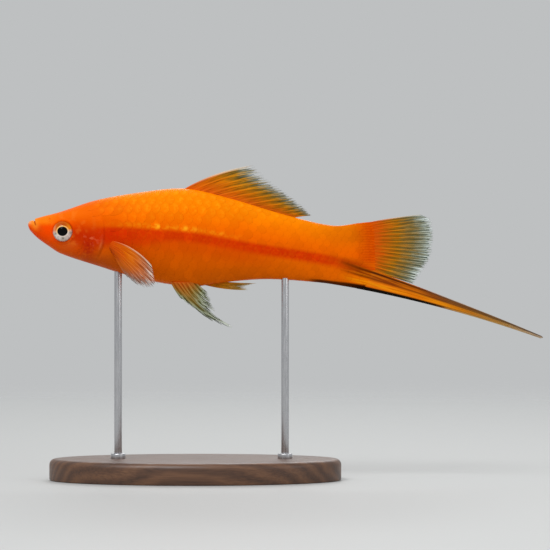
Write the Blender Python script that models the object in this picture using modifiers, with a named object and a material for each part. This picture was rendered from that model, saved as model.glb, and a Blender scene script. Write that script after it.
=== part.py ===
"""A male swordtail at life size, held by a plain display stand, as a museum shows it.

The fish is built in its own frame: X runs back from the tip of the lower lip, Z is up from the
level of that tip, and Y = 0 is the middle of the fish, with its left side towards -Y. The empty
fish_pose then lifts it onto the stand, so that X = 0 is the middle of the whole length and Z = 0
is the surface that the stand rests on. The fish swims level, a little nose-up."""

import math

import bmesh
import bpy
from mathutils import Matrix, Vector

MM = 0.001

# Overall sizes
TOTAL_LENGTH = 120 * MM  # lower lip to the tip of the sword
BODY_LENGTH = 77.6 * MM  # lower lip to the root of the tail fin
LIP_HEIGHT = 59.6 * MM  # lower lip above the surface that the stand rests on
GAP = 0.3 * MM  # kept between two pieces that touch

# The lines of the body, as (mm behind the lips, mm)
BACK_LINE = (
    (0, 0.7),  # lower lip
    (2, 1.5),  # upper lip
    (7.5, 2.9),  # over the eye
    (15.5, 5.5),  # nape
    (26, 7.4),
    (36.6, 8.3),  # start of the dorsal fin
    (46.6, 6.2),
    (60, 2.2),  # end of the dorsal fin
    (71, -0.3),  # slimmest place of the tail stalk
    (77.6, 0.35),  # root of the tail fin
)
BELLY_LINE = (
    (0, -0.8),
    (2, -3.0),
    (4.8, -5.1),  # chin
    (7.5, -6.8),
    (15.5, -9.5),  # throat
    (26, -12.6),
    (37.7, -14.5),  # deepest place, at the pelvic fins
    (47, -13.4),
    (56, -12.8),
    (68, -13.6),
    (74, -14.5),
    (77.6, -15.15),  # root of the sword
)
HALF_WIDTH_LINE = (
    (0, 1.5),
    (2, 2.1),
    (7.5, 3.5),  # at the eyes
    (15.5, 4.8),  # at the gill covers
    (24, 5.5),  # widest place, behind the pectoral fins
    (36, 5.2),
    (48, 4.1),
    (60, 2.9),
    (70, 2.0),
    (77.6, 1.2),
)
BACK_FULLNESS_LINE = ((0, 2.7), (7.5, 2.5), (20, 2.1), (40, 1.9), (77.6, 2.1))  # 2 is an ellipse
BELLY_FULLNESS = 2.0
WIDEST_SHARE = 0.53  # height of the widest place, as a share of the depth
LIP_ROUND = 0.9 * MM  # length over which the snout rounds off
AROUND = 28  # faces round the body

# Where one part of the body ends and the next begins
HEAD_BACK_CENTRE = (6.5 * MM, -1.8 * MM)  # of the arc that the head ends in
HEAD_BACK_RADIUS = 11.9 * MM
TAIL_STALK_START = 54.2 * MM

# Gill cover: an oval plate let into the side of the head
GILL_CENTRE = (16.6 * MM, -3.6 * MM)
GILL_RADII = (4.2 * MM, 4.6 * MM)
GILL_THICK = 1.0 * MM
GILL_PROUD = 0.12 * MM

# Mouth
MOUTH_TOP = Vector((1.3, 0, 1.25)) * MM
MOUTH_CORNER = Vector((1.95, 0, -0.4)) * MM
CHIN = Vector((5.2, 0, -5.5)) * MM
LIP_RADIUS = 0.38 * MM
LIP_STEPS = 7  # from the middle of the snout to the corner
NOSTRIL = (5.2 * MM, 1.2 * MM)
NOSTRIL_RADIUS = 0.32 * MM

# Eyes
EYE_CENTRE = (8.36 * MM, -1.72 * MM)
EYE_RADIUS = 2.36 * MM
EYE_HALF_THICK = 1.3 * MM
EYE_SUNK = 0.5 * MM  # centre of the eye below the skin

# Fins
FIN_RAY_THICK = 0.8 * MM
FIN_WEB_THICK = 0.5 * MM
FIN_WEB_REACH = 0.97  # of the rays' length
FIN_ROOT_SHARE = 0.3  # of a ray's length, over which the root's thickness dies away
RAY_COLUMNS = (0, 0.3, 0.7)  # where the sheet is divided, in shares of the way from one ray to the next

# Stand
BASE_CENTRE = 39 * MM  # behind the lips, under the middle of the body
BASE_SIZE = Vector((68, 40, 5)) * MM
BASE_EDGE = 0.9 * MM
ROD_PLACES = {"front": 21 * MM, "rear": 59.9 * MM}
ROD_RADIUS = 0.9 * MM


# The lines as functions


def smooth_line(points, unit=MM):
    """A function of x through the points, whose slope changes smoothly."""
    xs = [x * MM for x, _ in points]
    ys = [y * unit for _, y in points]
    last = len(xs) - 1
    slopes = []
    for i in range(last + 1):
        before, after = max(i - 1, 0), min(i + 1, last)
        slopes.append((ys[after] - ys[before]) / (xs[after] - xs[before]))

    def value(x):
        x = min(max(x, xs[0]), xs[-1])
        i = next(k for k in range(last) if x <= xs[k + 1])
        step = xs[i + 1] - xs[i]
        t = (x - xs[i]) / step
        start, end = ys[i], ys[i + 1]
        bend_in = slopes[i] * step - (end - start)
        bend_out = (end - start) - slopes[i + 1] * step
        return start + t * (end - start) + t * (1 - t) * ((1 - t) * bend_in + t * bend_out)

    return value


back_line = smooth_line(BACK_LINE)
belly_line = smooth_line(BELLY_LINE)
half_width = smooth_line(HALF_WIDTH_LINE)
back_fullness = smooth_line(BACK_FULLNESS_LINE, unit=1)


def mix(a, b, share):
    return a + (b - a) * share


def section(x, grow=0):
    """The cross-section at x, grown outwards: height of its widest place, reach up, down and out."""
    near = min(x / LIP_ROUND, 1)
    rounded = math.sqrt(1 - (1 - near) ** 2)
    top, bottom = back_line(x), belly_line(x)
    middle = mix(bottom, top, WIDEST_SHARE)
    up = (top - middle) * rounded + grow
    down = (middle - bottom) * rounded + grow
    return middle, up, down, half_width(x) * rounded + grow


def body_point(x, turn, grow=0):
    """A point of the skin. turn goes once round, and is 0.25 at the back and 0.75 at the belly."""
    middle, up, down, out = section(x, grow)
    angle = 2 * math.pi * turn
    cos, sin = math.cos(angle), math.sin(angle)
    fullness = back_fullness(x) if sin > 0 else BELLY_FULLNESS
    across = math.copysign(abs(cos) ** (2 / fullness), cos)
    upward = math.copysign(abs(sin) ** (2 / fullness), sin)
    return Vector((x, out * across, middle + upward * (up if sin > 0 else down)))


def flank(x, z):
    """How far the skin is from the middle plane, at height z."""
    middle, up, down, out = section(x)
    reach, fullness = (up, back_fullness(x)) if z > middle else (down, BELLY_FULLNESS)
    share = min(abs(z - middle) / reach, 1)
    return out * (1 - share**fullness) ** (1 / fullness)


# Scene helpers


def paint(name, colour, roughness, metallic=0.0):
    material = bpy.data.materials.new(name)
    material.use_nodes = True
    shader = material.node_tree.nodes["Principled BSDF"]
    shader.inputs["Base Color"].default_value = (*colour, 1)
    shader.inputs["Roughness"].default_value = roughness
    shader.inputs["Metallic"].default_value = metallic
    material.diffuse_color = (*colour, 1)
    return material


def collection(name):
    made = bpy.data.collections.new(name)
    bpy.context.scene.collection.children.link(made)
    return made


def add_object(name, data, where, material=None):
    made = bpy.data.objects.new(name, data)
    where.objects.link(made)
    if material:
        data.materials.append(material)
    return made


def skin_paint(name):
    return paint(name, (0.85, 0.20, 0.02), 0.45)


def mesh_object(name, shape, where, material=None):
    """The bmesh as an object with its faces pointing out. The bmesh is used up."""
    bmesh.ops.recalc_face_normals(shape, faces=shape.faces)
    mesh = bpy.data.meshes.new(name)
    shape.to_mesh(mesh)
    shape.free()
    return add_object(name, mesh, where, material)


def cutter_object(name, shape):
    made = mesh_object(name, shape, cutters)
    made.hide_render = True
    made.display_type = "WIRE"
    return made


def baked_mesh(obj):
    """The object's mesh with its modifiers applied."""
    bpy.context.view_layer.update()
    graph = bpy.context.evaluated_depsgraph_get()
    return bpy.data.meshes.new_from_object(obj.evaluated_get(graph))


def keep_largest(mesh):
    """Drops all but the largest closed surface of the mesh."""
    shape = bmesh.new()
    shape.from_mesh(mesh)
    bodies, left = [], set(shape.verts)
    while left:
        body, reached = set(), [left.pop()]
        while reached:
            vert = reached.pop()
            body.add(vert)
            found = {edge.other_vert(vert) for edge in vert.link_edges} & left
            left -= found
            reached.extend(found)
        bodies.append(body)
    bodies.sort(key=len)
    for body in bodies[:-1]:
        bmesh.ops.delete(shape, geom=list(body), context="VERTS")
    shape.to_mesh(mesh)
    shape.free()


def carve(target, operation, *others, solver="EXACT"):
    """Applies a Boolean of the target with each of the others in turn, and removes them."""
    for other in others:
        modifier = target.modifiers.new(operation.lower(), "BOOLEAN")
        modifier.operation = operation
        modifier.object = other
        modifier.solver = solver
    mesh = baked_mesh(target)
    target.modifiers.clear()
    target.data = mesh
    keep_largest(mesh)
    for other in others:
        bpy.data.objects.remove(other)


def smooth_shading(obj, degrees=35):
    obj.data.shade_smooth()
    obj.data.set_sharp_from_angle(angle=math.radians(degrees))


def mapped_grid(columns, rows, place):
    """A bmesh sheet whose point at (u, v), each from 0 to 1, is at place(u, v)."""
    sheet = bmesh.new()
    bmesh.ops.create_grid(sheet, x_segments=columns, y_segments=rows, size=0.5)
    for vert in sheet.verts:
        vert.co = place(vert.co.x + 0.5, vert.co.y + 0.5)
    return sheet


# Body


def body_between(start, end, rings, grow=0, crowding=1):
    """The body from one cross-section to another, closed at both ends. crowding over 1 sets the
    rings closer together towards the start."""

    def place(u, v):
        return body_point(mix(start, end, u**crowding), v, grow)

    shape = mapped_grid(rings, AROUND, place)
    bmesh.ops.remove_doubles(shape, verts=shape.verts, dist=0.002 * MM)
    bmesh.ops.holes_fill(shape, edges=shape.edges, sides=0)
    return shape


def oval_across(centre, radii, near, far, segments=40):
    """An oval drum that lies across the fish, from y = near to y = far."""
    shape = bmesh.new()
    bmesh.ops.create_cone(
        shape, cap_ends=True, segments=segments, radius1=1, radius2=1, depth=1
    )
    bmesh.ops.rotate(shape, verts=shape.verts, matrix=Matrix.Rotation(math.pi / 2, 3, "X"))
    bmesh.ops.scale(shape, verts=shape.verts, vec=(radii[0], far - near, radii[1]))
    middle = Vector((centre[0], (near + far) / 2, centre[1]))
    bmesh.ops.translate(shape, verts=shape.verts, vec=middle)
    return shape


def head_arc(grow=0):
    """The drum whose back edge parts the head from the trunk."""
    radius = HEAD_BACK_RADIUS + grow
    reach = 8 * MM
    shape = oval_across(HEAD_BACK_CENTRE, (radius, radius), -reach, reach, segments=72)
    return cutter_object("head_arc", shape)


def gill_oval(side, grow=0):
    """The drum that outlines one gill cover, from inside the head to well past its skin."""
    radii = (GILL_RADII[0] + grow, GILL_RADII[1] + grow)
    near, far = sorted((side * 0.6 * MM, side * 8 * MM))
    return cutter_object("gill_oval", oval_across(GILL_CENTRE, radii, near, far, segments=48))


def inner_body(depth):
    """What lies deeper than this under the skin round the gills."""
    return cutter_object("inner_body", body_between(8 * MM, 24 * MM, 16, grow=-depth))


def gill_pocket(side):
    """The space of one gill cover and of the gap round it."""
    pocket = gill_oval(side, grow=GAP)
    carve(pocket, "DIFFERENCE", inner_body(GILL_THICK + GAP))
    return pocket


def jaw_wedge(grow=0):
    """What lies in front of the mouth's line and of the fold behind the chin."""
    slit = (MOUTH_CORNER - MOUTH_TOP).normalized()
    fold = (CHIN - MOUTH_CORNER).normalized()
    backward = Vector((-slit.z, 0, slit.x))
    corners = [
        MOUTH_TOP - slit * 3 * MM,
        MOUTH_CORNER,
        CHIN + fold * 3 * MM,
        Vector((-3, 0, -8)) * MM,
        Vector((-3, 0, 3)) * MM,
    ]
    half = Vector((0, 5 * MM, 0))
    shape = bmesh.new()
    outline = [shape.verts.new(corner + backward * grow - half) for corner in corners]
    face = shape.faces.new(outline)
    swept = bmesh.ops.extrude_face_region(shape, geom=[face])["geom"]
    moved = [item for item in swept if isinstance(item, bmesh.types.BMVert)]
    bmesh.ops.translate(shape, verts=moved, vec=half * 2)
    return cutter_object("jaw_wedge", shape)


def mouth_edge(offset):
    """Points over the snout from corner to corner, where the skin meets the plane of the mouth
    moved back by offset."""
    slit = MOUTH_CORNER - MOUTH_TOP
    backward = Vector((-slit.z, 0, slit.x)).normalized() * offset

    def at(share):
        place = MOUTH_TOP + slit * share + backward
        return place, flank(place.x, place.z)

    start = next(n / 200 for n in range(200) if at(n / 200)[1] > 0)
    points = []
    for i in range(-LIP_STEPS, LIP_STEPS + 1):
        turn = math.pi / 2 * abs(i) / LIP_STEPS
        place, out = at(mix(start, 0.94, 1 - math.cos(turn)))
        out = max(out - LIP_RADIUS * 0.5, 0) if i else 0
        points.append(place + Vector((0, math.copysign(out, i), 0)))
    return points


def lip(offset):
    """A round lip along one side of the mouth's line."""
    curve = bpy.data.curves.new("lip", "CURVE")
    curve.dimensions = "3D"
    curve.bevel_depth = LIP_RADIUS
    curve.bevel_resolution = 1
    curve.use_fill_caps = True
    points = mouth_edge(offset)
    spline = curve.splines.new("POLY")
    spline.points.add(len(points) - 1)
    for i, (point, place) in enumerate(zip(spline.points, points)):
        point.co = (*place, 1)
        point.radius = 1 - 0.5 * abs(i / LIP_STEPS - 1) ** 3  # slimmer at the corners
    path = add_object("lip_path", curve, cutters)
    mesh = baked_mesh(path)
    bpy.data.objects.remove(path)
    shape = bmesh.new()
    shape.from_mesh(mesh)
    bmesh.ops.remove_doubles(shape, verts=shape.verts, dist=0.001 * MM)
    return cutter_object("lip", shape)


def eye_shape(side, grow=0):
    """One eye: a flattened ball that stands a little out of the head."""
    x, z = EYE_CENTRE
    shape = bmesh.new()
    bmesh.ops.create_uvsphere(shape, u_segments=24, v_segments=12, radius=1)
    bmesh.ops.rotate(shape, verts=shape.verts, matrix=Matrix.Rotation(math.pi / 2, 3, "X"))
    radii = (EYE_RADIUS + grow, EYE_HALF_THICK + grow, EYE_RADIUS + grow)
    bmesh.ops.scale(shape, verts=shape.verts, vec=radii)
    middle = Vector((x, side * (flank(x, z) - EYE_SUNK), z))
    bmesh.ops.translate(shape, verts=shape.verts, vec=middle)
    return shape


def nostril(side):
    x, z = NOSTRIL
    shape = bmesh.new()
    bmesh.ops.create_icosphere(shape, subdivisions=1, radius=NOSTRIL_RADIUS)
    bmesh.ops.translate(shape, verts=shape.verts, vec=(x, side * flank(x, z), z))
    return cutter_object("nostril", shape)


def make_head():
    end = HEAD_BACK_CENTRE[0] + HEAD_BACK_RADIUS + MM
    shape = body_between(0, end, 22, crowding=1.5)
    head = mesh_object("head", shape, fish, skin_paint("head"))
    carve(head, "INTERSECT", head_arc())
    carve(head, "DIFFERENCE", jaw_wedge(grow=GAP / 2), gill_pocket(-1), gill_pocket(1))
    carve(head, "UNION", lip(GAP / 2 + LIP_RADIUS))
    sockets = [cutter_object("socket", eye_shape(side, grow=GAP)) for side in (-1, 1)]
    carve(head, "DIFFERENCE", *sockets, nostril(-1), nostril(1))
    smooth_shading(head)


def make_lower_jaw():
    shape = body_between(0, 8 * MM, 12, crowding=1.5)
    jaw = mesh_object("lower_jaw", shape, fish, skin_paint("lower_jaw"))
    carve(jaw, "INTERSECT", jaw_wedge(grow=-GAP / 2))
    carve(jaw, "UNION", lip(-GAP / 2 - LIP_RADIUS))
    smooth_shading(jaw)


def make_gill_cover(name, side):
    shape = body_between(11 * MM, 20 * MM, 10, grow=GILL_PROUD)
    cover = mesh_object(name, shape, fish, skin_paint(name))
    carve(cover, "INTERSECT", gill_oval(side), head_arc())
    carve(cover, "DIFFERENCE", inner_body(GILL_THICK))
    smooth_shading(cover)


def make_trunk():
    shape = body_between(HEAD_BACK_CENTRE[0], TAIL_STALK_START, 24)
    trunk = mesh_object("trunk", shape, fish, skin_paint("trunk"))
    carve(trunk, "DIFFERENCE", head_arc(grow=GAP))
    smooth_shading(trunk)


def make_tail_stalk():
    shape = body_between(TAIL_STALK_START + GAP, BODY_LENGTH, 10)
    stalk = mesh_object("tail_stalk", shape, fish, skin_paint("tail_stalk"))
    smooth_shading(stalk)


def make_eye(name, side):
    eye = mesh_object(name, eye_shape(side), fish, paint(name, (0.75, 0.72, 0.68), 0.15))
    smooth_shading(eye)


# Fins


def curve_through(points, unit=MM):
    """A smooth curve through the points (mm), as a function of the share of the way along it."""
    places = [Vector(point) * unit for point in points]
    last = len(places) - 1

    def at(share):
        i = min(int(share * last), last - 1)
        t = share * last - i
        a, b = places[i], places[i + 1]
        bend_in = (b - places[max(i - 1, 0)]) / (2 if i else 1)
        bend_out = (places[min(i + 2, last)] - a) / (2 if i + 1 < last else 1)
        step = b - a
        return a + step * t + (bend_in - step) * t * (1 - t) ** 2 + (step - bend_out) * t**2 * (1 - t)

    return at


def fin(name, colour, rays, rows, roots, tips, bows, root_thick, tip_thick):
    """A fin, as a thin sheet given thickness, with rays raised on both faces and reaching a little
    past the web between them. roots, tips and bows run from the first ray to the last, and a bow
    is how far a ray arches off its chord."""
    root_at, tip_at, bow_at = curve_through(roots), curve_through(tips), curve_through(bows)
    columns = (rays - 1) * len(RAY_COLUMNS)
    sheet = bmesh.new()
    bmesh.ops.create_grid(sheet, x_segments=columns, y_segments=rows, size=0.5)
    weights = sheet.verts.layers.deform.verify()
    for vert in sheet.verts:
        ray, column = divmod(round((vert.co.x + 0.5) * columns), len(RAY_COLUMNS))
        u = (ray + RAY_COLUMNS[column]) / (rays - 1)
        v = (vert.co.y + 0.5) * (1 if column == 0 else FIN_WEB_REACH)
        thick = mix(FIN_RAY_THICK if column == 0 else FIN_WEB_THICK, tip_thick, v**2)
        thick += (root_thick - thick) * max(1 - v / FIN_ROOT_SHARE, 0) ** 2
        vert[weights][0] = thick / root_thick
        vert.co = root_at(u).lerp(tip_at(u), v) + bow_at(u) * 4 * v * (1 - v)
    bmesh.ops.triangulate(sheet, faces=sheet.faces, quad_method="FIXED")
    made = mesh_object(name, sheet, fish, paint(name, colour, 0.4))
    made.vertex_groups.new(name="thickness")
    solid = made.modifiers.new("thickness", "SOLIDIFY")
    solid.thickness = root_thick
    solid.offset = 0
    solid.vertex_group = "thickness"
    made.data = baked_mesh(made)
    made.modifiers.clear()
    return made


def seat(made, start, end, rings, solver="EXACT"):
    """Cuts the root of a fin, or the top of a rod, to the skin that it stands on."""
    skin = body_between(start * MM, end * MM, rings, grow=GAP)
    carve(made, "DIFFERENCE", cutter_object("skin", skin), solver=solver)
    smooth_shading(made)


def mirrored(points, side):
    return [(x, side * y, z) for x, y, z in points]


def make_dorsal_fin():
    backbone = [(x, 0, back_line(x * MM) / MM - 0.7) for x in (35.4, 41.3, 48, 55, 61)]
    made = fin(
        "dorsal_fin",
        (0.9, 0.35, 0.05),
        rays=13,
        rows=6,
        roots=backbone,
        tips=[(52.6, 0, 13.7), (56.5, 0, 10.2), (60.4, 0, 7.2), (64.0, 0, 4.4), (66.2, 0, 1.95)],
        bows=[(-0.3, 0, 0.95), (-0.2, 0, 0.4), (0, 0, 0.2), (0, 0, 0), (0, 0, 0.2)],
        root_thick=1.2 * MM,
        tip_thick=0.4 * MM,
    )
    seat(made, 30, 70, 22)


def make_tail_fin():
    root_x = BODY_LENGTH / MM + GAP / MM
    made = fin(
        "tail_fin",
        (0.9, 0.35, 0.05),
        rays=17,
        rows=7,
        roots=[(root_x, 0, 0.3), (root_x, 0, -4.5), (root_x, 0, -9.3)],
        tips=[(91.8, 0, 2.25), (94.5, 0, -0.7), (94.5, 0, -5.1), (93.1, 0, -9.5), (89.9, 0, -13.5)],
        bows=[(0, 0, 0.25), (0, 0, 0), (0, 0, -0.1)],
        root_thick=1.7 * MM,
        tip_thick=0.35 * MM,
    )
    smooth_shading(made)


def make_sword():
    root_x = BODY_LENGTH / MM + GAP / MM
    made = fin(
        "sword",
        (0.9, 0.45, 0.08),
        rays=6,
        rows=16,
        roots=[(root_x, 0, -9.8), (root_x, 0, -12.5), (root_x, 0, -15.15)],
        tips=[(119.6, 0, -26.0), (TOTAL_LENGTH / MM, 0, -26.4), (119.4, 0, -26.6)],
        bows=[(0, 0, 0.42), (0, 0, 0.62), (0, 0, 0.82)],
        root_thick=1.7 * MM,
        tip_thick=0.6 * MM,
    )
    smooth_shading(made)


def make_gonopodium():
    """The anal fin, folded into the rod that marks the male."""
    made = fin(
        "gonopodium",
        (0.85, 0.45, 0.08),
        rays=6,
        rows=6,
        roots=[(39.2, 0, -13.6), (41.2, 0, -13.4), (43.2, 0, -13.1)],
        tips=[(51.4, 0, -15.3), (51.2, 0, -14.5), (53.4, 0, -13.75)],
        bows=[(0, 0, -0.55), (0, 0, -0.3), (0, 0, -0.15)],
        root_thick=1.2 * MM,
        tip_thick=0.5 * MM,
    )
    seat(made, 36, 58, 18)


def make_pelvic_fin(name, side):
    made = fin(
        name,
        (0.9, 0.6, 0.35),
        rays=7,
        rows=7,
        roots=mirrored([(33.2, 1.5, -13.4), (36.2, 1.6, -13.7), (39.2, 1.3, -13.4)], side),
        tips=mirrored(
            [
                (36.1, 2.1, -17.8),
                (43.3, 2.9, -22.7),
                (47.9, 3.0, -24.2),
                (44.5, 2.8, -21.8),
                (43.4, 2.4, -19.5),
                (42.7, 2.1, -17.7),
                (41.9, 1.7, -15.9),
            ],
            side,
        ),
        bows=mirrored([(-0.1, 0, -0.2), (-0.6, 0, -0.9), (-0.3, 0, -0.5), (0, 0, -0.2)], side),
        root_thick=1.5 * MM,
        tip_thick=0.35 * MM,
    )
    seat(made, 29, 44, 14)


def make_pectoral_fin(name, side):
    def root(x, z):
        return (x, flank(x * MM, z * MM) / MM - 0.7, z)

    made = fin(
        name,
        (0.9, 0.4, 0.2),
        rays=11,
        rows=7,
        roots=mirrored([root(19.0, -4.1), root(19.3, -5.2), root(19.6, -6.2)], side),
        tips=mirrored(
            [
                (29.2, 8.6, -9.6),
                (29.9, 8.9, -12.2),
                (30.0, 9.1, -14.3),
                (28.2, 9.2, -14.9),
                (26.5, 9.2, -14.5),
                (24.8, 8.9, -13.3),
                (23.4, 8.5, -12.2),
            ],
            side,
        ),
        bows=mirrored([(0.4, 0.5, 1.0), (0.1, 0.5, 0.1), (-0.1, 0.5, -0.1)], side),
        root_thick=1.2 * MM,
        tip_thick=0.35 * MM,
    )
    seat(made, 15, 28, 14, solver="MANIFOLD")


# Stand


def make_stand_base():
    """A low oval block with rounded edges, flat underneath."""
    shape = bmesh.new()
    bmesh.ops.create_cone(
        shape, cap_ends=True, segments=72, radius1=0.5, radius2=0.5, depth=1
    )
    bmesh.ops.scale(shape, verts=shape.verts, vec=BASE_SIZE)
    middle = Vector((BASE_CENTRE, 0, BASE_SIZE.z / 2 - LIP_HEIGHT))
    bmesh.ops.translate(shape, verts=shape.verts, vec=middle)
    base = mesh_object("stand_base", shape, stand, paint("stand_base", (0.10, 0.055, 0.03), 0.4))
    edge = base.modifiers.new("rounded edge", "BEVEL")
    edge.width = BASE_EDGE
    edge.segments = 3
    edge.limit_method = "ANGLE"
    smooth_shading(base)


def make_rod(name, x):
    """A rod from just over the base to just under the belly."""
    bottom = BASE_SIZE.z + GAP - LIP_HEIGHT
    top = belly_line(x) + MM
    shape = bmesh.new()
    bmesh.ops.create_cone(
        shape, cap_ends=True, segments=24, radius1=ROD_RADIUS, radius2=ROD_RADIUS, depth=top - bottom
    )
    bmesh.ops.translate(shape, verts=shape.verts, vec=(x, 0, (top + bottom) / 2))
    rod = mesh_object(name, shape, stand, paint(name, (0.6, 0.6, 0.62), 0.3, metallic=1.0))
    seat(rod, x / MM - 4, x / MM + 4, 8)


# The model

for old in list(bpy.data.objects):
    bpy.data.objects.remove(old)
fish = collection("swordtail")
stand = collection("stand")
cutters = collection("cutters")

make_head()
make_lower_jaw()
make_trunk()
make_tail_stalk()
make_dorsal_fin()
make_tail_fin()
make_sword()
make_gonopodium()
for side, where in ((-1, "left"), (1, "right")):
    make_gill_cover("gill_cover_" + where, side)
    make_eye("eye_" + where, side)
    make_pelvic_fin("pelvic_fin_" + where, side)
    make_pectoral_fin("pectoral_fin_" + where, side)
make_stand_base()
for where, x in ROD_PLACES.items():
    make_rod("stand_rod_" + where, x)

pose = add_object("fish_pose", None, fish)
pose.location = (-TOTAL_LENGTH / 2, 0, LIP_HEIGHT)
for made in [*fish.objects, *stand.objects]:
    if made != pose:
        made.parent = pose
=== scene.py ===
"""The looks of the swordtail model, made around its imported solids.

Fish measures are in millimetres, in the fish's own frame: x runs back from the tip of the lower
lip, z is up from the level of that tip, and y = 0 is the middle, with the left side towards -y.
to_scene() puts them in metres, where the solids are."""

import math

import bmesh
import bpy
import numpy as np
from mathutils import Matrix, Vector


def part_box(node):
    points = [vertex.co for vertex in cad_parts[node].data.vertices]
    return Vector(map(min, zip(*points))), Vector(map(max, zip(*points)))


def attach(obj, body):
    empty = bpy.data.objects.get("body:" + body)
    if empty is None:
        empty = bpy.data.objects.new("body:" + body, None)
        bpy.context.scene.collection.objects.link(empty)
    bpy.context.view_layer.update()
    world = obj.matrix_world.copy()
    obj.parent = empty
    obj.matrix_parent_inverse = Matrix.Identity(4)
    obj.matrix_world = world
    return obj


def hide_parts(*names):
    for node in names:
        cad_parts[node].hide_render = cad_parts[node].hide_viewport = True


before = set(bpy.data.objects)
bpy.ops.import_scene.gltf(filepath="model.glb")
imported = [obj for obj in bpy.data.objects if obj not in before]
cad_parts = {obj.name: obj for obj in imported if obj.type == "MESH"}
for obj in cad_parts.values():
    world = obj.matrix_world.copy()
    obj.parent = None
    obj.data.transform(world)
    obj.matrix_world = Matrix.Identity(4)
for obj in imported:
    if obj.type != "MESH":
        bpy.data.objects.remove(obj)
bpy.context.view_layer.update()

# The camera
# It looks at the fish's left side, level with it, as in the photo, from far enough away that
# the fins of both sides are seen almost square on.

MM = 0.001
PIXEL = 0.233 * MM  # what one pixel of the photo shows of the fish
PHOTO_SIDE = 550
PHOTO_MIDDLE = Vector((-10.5 * PIXEL, 0, 205 * PIXEL))  # the centre of the photo
CAMERA_DISTANCE = 0.7

camera_data = bpy.data.cameras.new("camera")
camera_data.lens = camera_data.sensor_width * CAMERA_DISTANCE / (PHOTO_SIDE * PIXEL)
camera = bpy.data.objects.new("camera", camera_data)
camera.location = PHOTO_MIDDLE - Vector((0, CAMERA_DISTANCE, 0))
camera.rotation_euler = (math.pi / 2, 0, 0)
bpy.context.scene.collection.objects.link(camera)
bpy.context.scene.camera = camera
bpy.context.scene.view_settings.view_transform = "Standard"


# Materials
# Each finish is a painted surface whose colours follow the piece. The two classes here let its
# maths be written as sums, and every finish below is made with them.


class Signal:
    """A number on its way through a finish. Arithmetic on it adds Math nodes."""

    def __init__(self, finish, socket):
        self.finish, self.socket = finish, socket

    def math(self, operation, *values):
        return self.finish.node("ShaderNodeMath", {"operation": operation}, dict(enumerate(values)))

    def __add__(self, other):
        return self.math("ADD", self, other)

    def __sub__(self, other):
        return self.math("SUBTRACT", self, other)

    def __rsub__(self, other):
        return self.math("SUBTRACT", other, self)

    def __mul__(self, other):
        return self.math("MULTIPLY", self, other)

    def __truediv__(self, other):
        return self.math("DIVIDE", self, other)

    def ramp(self, low, high, start=0, end=1):
        """start below low, end above high, and smooth between."""
        sockets = {"Value": self, 1: low, 2: high, 3: start, 4: end}
        return self.finish.node("ShaderNodeMapRange", {"interpolation_type": "SMOOTHSTEP"}, sockets)

    def hump(self, centre, width):
        """1 at the centre, dying away on both sides."""
        return self.math("EXPONENT", ((self - centre) / width).squared() * -1)

    def sine(self):
        return self.math("SINE", self)

    def squared(self):
        return self * self


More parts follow.
